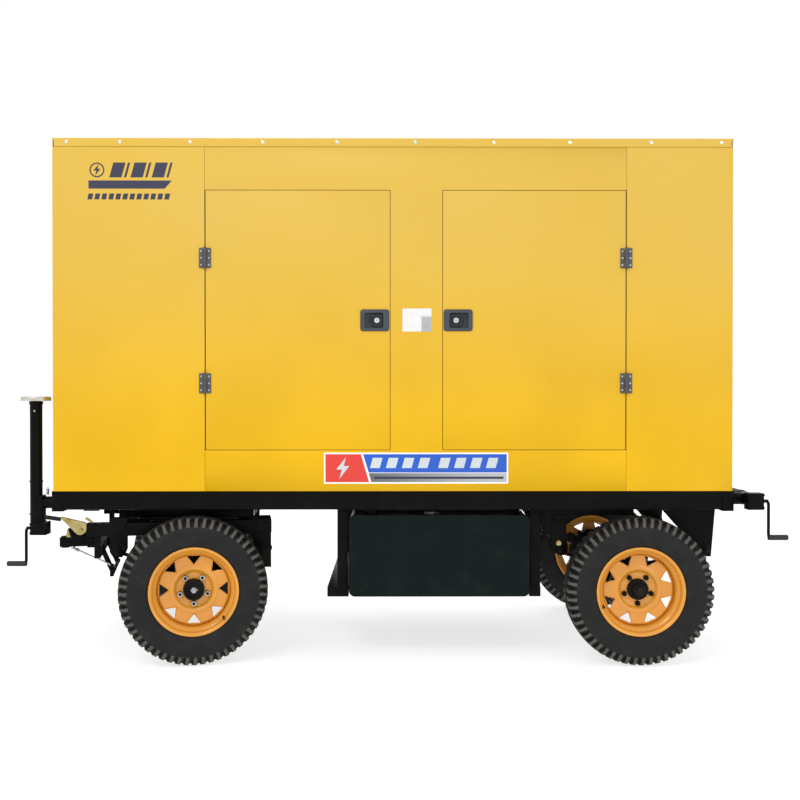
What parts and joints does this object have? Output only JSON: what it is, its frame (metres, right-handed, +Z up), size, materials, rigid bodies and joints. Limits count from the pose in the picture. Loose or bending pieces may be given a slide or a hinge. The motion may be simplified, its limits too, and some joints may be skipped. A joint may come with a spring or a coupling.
{
  "type": "towable diesel generator",
  "caption": "Sound-proof diesel generator canopy on a turntable trailer with leaf springs, belly fuel tank, service doors and swivelling corner jacks.",
  "frame": {"origin": "on the ground under the middle of the canopy", "axes": "+X towards the rear of the trailer (drawbar end at -X), +Y towards the trailer's right side, +Z up"},
  "size_m": [3.852, 1.5478, 2.582],
  "materials": {
    "yellow_paint": "satin powder coat",
    "black_paint": "satin chassis enamel",
    "tank_paint": "semi-gloss enamel",
    "tyre_rubber": "matt rubber",
    "rim_paint": "gloss enamel",
    "hub_paint": "black paint",
    "hinge_black": "matt black zinc",
    "latch_black": "moulded",
    "paddle_black": "moulded",
    "zinc": "yellow zinc plate",
    "engine_paint": "engine enamel",
    "alternator_paint": "enamel",
    "radiator_black": "black paint",
    "muffler_steel": "heat-stained",
    "control_grey": "textured powder coat",
    "fan_plastic": "moulded nylon",
    "stop_red": "gloss",
    "foot_zinc": "galvanised"
  },
  "bodies": {
    "chassis": {"side_rails": "black_paint", "deck_frame": "black_paint", "rear_subframe": "black_paint", "rear_springs": "black_paint", "rear_axle": "black_paint", "tank_cradle": "black_paint", "fuel_tank": "tank_paint", "canopy_front": "yellow_paint", "canopy_rear": "yellow_paint", "canopy_sides": "yellow_paint", "roof": "yellow_paint", "hinge_leaves": "hinge_black", "engine_block": "engine_paint", "alternator": "alternator_paint", "radiator": "radiator_black", "muffler": "muffler_steel", "control_box": "control_grey"},
    "bogie": {"bogie_frame": "black_paint", "front_springs": "black_paint", "front_axle": "black_paint"},
    "drawbar": {"drawbar": "black_paint"},
    "brake_lever": {"brake_lever": "zinc"},
    "front_left_wheel": {"front_left_tyre": "tyre_rubber", "front_left_rim": "rim_paint", "front_left_hub": "hub_paint"},
    "front_right_wheel": {"front_right_tyre": "tyre_rubber", "front_right_rim": "rim_paint", "front_right_hub": "hub_paint"},
    "rear_left_wheel": {"rear_left_tyre": "tyre_rubber", "rear_left_rim": "rim_paint", "rear_left_hub": "hub_paint"},
    "rear_right_wheel": {"rear_right_tyre": "tyre_rubber", "rear_right_rim": "rim_paint", "rear_right_hub": "hub_paint"},
    "left_front_door": {"left_front_door": "yellow_paint", "left_front_door_trim": "latch_black"},
    "left_front_paddle": {"left_front_paddle": "paddle_black"},
    "left_rear_door": {"left_rear_door": "yellow_paint", "left_rear_door_trim": "latch_black"},
    "left_rear_paddle": {"left_rear_paddle": "paddle_black"},
    "right_front_door": {"right_front_door": "yellow_paint", "right_front_door_trim": "latch_black"},
    "right_front_paddle": {"right_front_paddle": "paddle_black"},
    "right_rear_door": {"right_rear_door": "yellow_paint", "right_rear_door_trim": "latch_black"},
    "right_rear_paddle": {"right_rear_paddle": "paddle_black"},
    "front_left_jack": {"front_left_jack": "black_paint"},
    "front_left_leg": {"front_left_leg": "foot_zinc"},
    "front_left_crank": {"front_left_crank": "black_paint"},
    "front_right_jack": {"front_right_jack": "black_paint"},
    "front_right_leg": {"front_right_leg": "foot_zinc"},
    "front_right_crank": {"front_right_crank": "black_paint"},
    "rear_left_jack": {"rear_left_jack": "black_paint"},
    "rear_left_leg": {"rear_left_leg": "foot_zinc"},
    "rear_left_crank": {"rear_left_crank": "black_paint"},
    "rear_right_jack": {"rear_right_jack": "black_paint"},
    "rear_right_leg": {"rear_right_leg": "foot_zinc"},
    "rear_right_crank": {"rear_right_crank": "black_paint"},
    "cooling_fan": {"cooling_fan": "fan_plastic"},
    "stop_button": {"stop_button": "stop_red"}
  },
  "joints": [
    {"name": "bogie_steer", "type": "hinge", "parent": "chassis", "child": "bogie", "pos_m": [-1.105, 0, 0.675], "axis": [0, 0, 1], "range_deg": [-36, 14]},
    {"name": "drawbar_lift", "type": "hinge", "parent": "bogie", "child": "drawbar", "pos_m": [-1.62526, -0.10113, 0.525], "axis": [-0.1908, 0.9816, 0], "range_deg": [0, 8]},
    {"name": "brake_pull", "type": "hinge", "parent": "drawbar", "child": "brake_lever", "pos_m": [-1.68747, -0.12697, 0.592], "axis": [-0.1908, 0.9816, 0], "range_deg": [0, 24]},
    {"name": "front_left_spin", "type": "hinge", "parent": "bogie", "child": "front_left_wheel", "pos_m": [-0.98288, -0.62824, 0.362], "axis": [-0.1908, 0.9816, 0], "continuous": true},
    {"name": "front_right_spin", "type": "hinge", "parent": "bogie", "child": "front_right_wheel", "pos_m": [-1.22712, 0.62824, 0.362], "axis": [-0.1908, 0.9816, 0], "continuous": true},
    {"name": "rear_left_spin", "type": "hinge", "parent": "chassis", "child": "rear_left_wheel", "pos_m": [1.206, -0.64, 0.362], "axis": [0, 1, 0], "continuous": true},
    {"name": "rear_right_spin", "type": "hinge", "parent": "chassis", "child": "rear_right_wheel", "pos_m": [1.206, 0.64, 0.362], "axis": [0, 1, 0], "continuous": true},
    {"name": "left_front_hinge", "type": "hinge", "parent": "chassis", "child": "left_front_door", "pos_m": [-0.926, -0.634, 1.688], "axis": [0, 0, -1], "range_deg": [0, 110]},
    {"name": "left_front_latch", "type": "hinge", "parent": "left_front_door", "child": "left_front_paddle", "pos_m": [-0.053, -0.616, 1.688], "axis": [0, 0, 1], "range_deg": [0, 30], "stiffness_Nm_per_rad": 0.5},
    {"name": "left_rear_hinge", "type": "hinge", "parent": "chassis", "child": "left_rear_door", "pos_m": [1.148, -0.634, 1.688], "axis": [0, 0, 1], "range_deg": [0, 110]},
    {"name": "left_rear_latch", "type": "hinge", "parent": "left_rear_door", "child": "left_rear_paddle", "pos_m": [0.281, -0.616, 1.688], "axis": [0, 0, -1], "range_deg": [0, 30], "stiffness_Nm_per_rad": 0.5},
    {"name": "right_front_hinge", "type": "hinge", "parent": "chassis", "child": "right_front_door", "pos_m": [-0.926, 0.634, 1.688], "axis": [0, 0, 1], "range_deg": [0, 110]},
    {"name": "right_front_latch", "type": "hinge", "parent": "right_front_door", "child": "right_front_paddle", "pos_m": [-0.053, 0.616, 1.688], "axis": [0, 0, -1], "range_deg": [0, 30], "stiffness_Nm_per_rad": 0.5},
    {"name": "right_rear_hinge", "type": "hinge", "parent": "chassis", "child": "right_rear_door", "pos_m": [1.148, 0.634, 1.688], "axis": [0, 0, -1], "range_deg": [0, 110]},
    {"name": "right_rear_latch", "type": "hinge", "parent": "right_rear_door", "child": "right_rear_paddle", "pos_m": [0.281, 0.616, 1.688], "axis": [0, 0, 1], "range_deg": [0, 30], "stiffness_Nm_per_rad": 0.5},
    {"name": "front_left_swivel", "type": "hinge", "parent": "chassis", "child": "front_left_jack", "pos_m": [-1.71, -0.56, 0.785], "axis": [1, 0, 0], "range_deg": [0, 180]},
    {"name": "front_left_crank", "type": "hinge", "parent": "front_left_jack", "child": "front_left_crank", "pos_m": [-1.82, -0.56, 0.657], "axis": [-1, 0, 0], "range_deg": [0, 15000]},
    {"name": "front_left_leg", "type": "slide", "parent": "front_left_jack", "child": "front_left_leg", "axis": [0, 0, 1], "range_m": [0, 0.25]},
    {"name": "front_right_swivel", "type": "hinge", "parent": "chassis", "child": "front_right_jack", "pos_m": [-1.71, 0.56, 0.785], "axis": [1, 0, 0], "range_deg": [0, 90]},
    {"name": "front_right_crank", "type": "hinge", "parent": "front_right_jack", "child": "front_right_crank", "pos_m": [-1.82, 0.688, 0.785], "axis": [-1, 0, 0], "range_deg": [0, 15000]},
    {"name": "front_right_leg", "type": "slide", "parent": "front_right_jack", "child": "front_right_leg", "axis": [0, -1, 0], "range_m": [0, 0.25]},
    {"name": "rear_left_swivel", "type": "hinge", "parent": "chassis", "child": "rear_left_jack", "pos_m": [1.71, -0.56, 0.803], "axis": [-1, 0, 0], "range_deg": [0, 90]},
    {"name": "rear_left_crank", "type": "hinge", "parent": "rear_left_jack", "child": "rear_left_crank", "pos_m": [1.82, -0.688, 0.803], "axis": [1, 0, 0], "range_deg": [0, 15000]},
    {"name": "rear_left_leg", "type": "slide", "parent": "rear_left_jack", "child": "rear_left_leg", "axis": [0, 1, 0], "range_m": [0, 0.25]},
    {"name": "rear_right_swivel", "type": "hinge", "parent": "chassis", "child": "rear_right_jack", "pos_m": [1.71, 0.56, 0.803], "axis": [-1, 0, 0], "range_deg": [0, 180]},
    {"name": "rear_right_crank", "type": "hinge", "parent": "rear_right_jack", "child": "rear_right_crank", "pos_m": [1.82, 0.56, 0.675], "axis": [1, 0, 0], "range_deg": [0, 15000]},
    {"name": "rear_right_leg", "type": "slide", "parent": "rear_right_jack", "child": "rear_right_leg", "axis": [0, 0, 1], "range_m": [0, 0.25]},
    {"name": "fan_spin", "type": "hinge", "parent": "chassis", "child": "cooling_fan", "pos_m": [1.11, 0, 1.48], "axis": [1, 0, 0], "continuous": true},
    {"name": "stop_press", "type": "slide", "parent": "chassis", "child": "stop_button", "axis": [0, 1, 0], "range_m": [0, 0.006], "stiffness_N_per_m": 400}
  ],
  "couplings": [
    {"joint": "front_left_leg", "follows": "front_left_crank", "m_per_rad": 0.00095493},
    {"joint": "front_right_leg", "follows": "front_right_crank", "m_per_rad": 0.00095493},
    {"joint": "rear_left_leg", "follows": "rear_left_crank", "m_per_rad": 0.00095493},
    {"joint": "rear_right_leg", "follows": "rear_right_crank", "m_per_rad": 0.00095493}
  ]
}
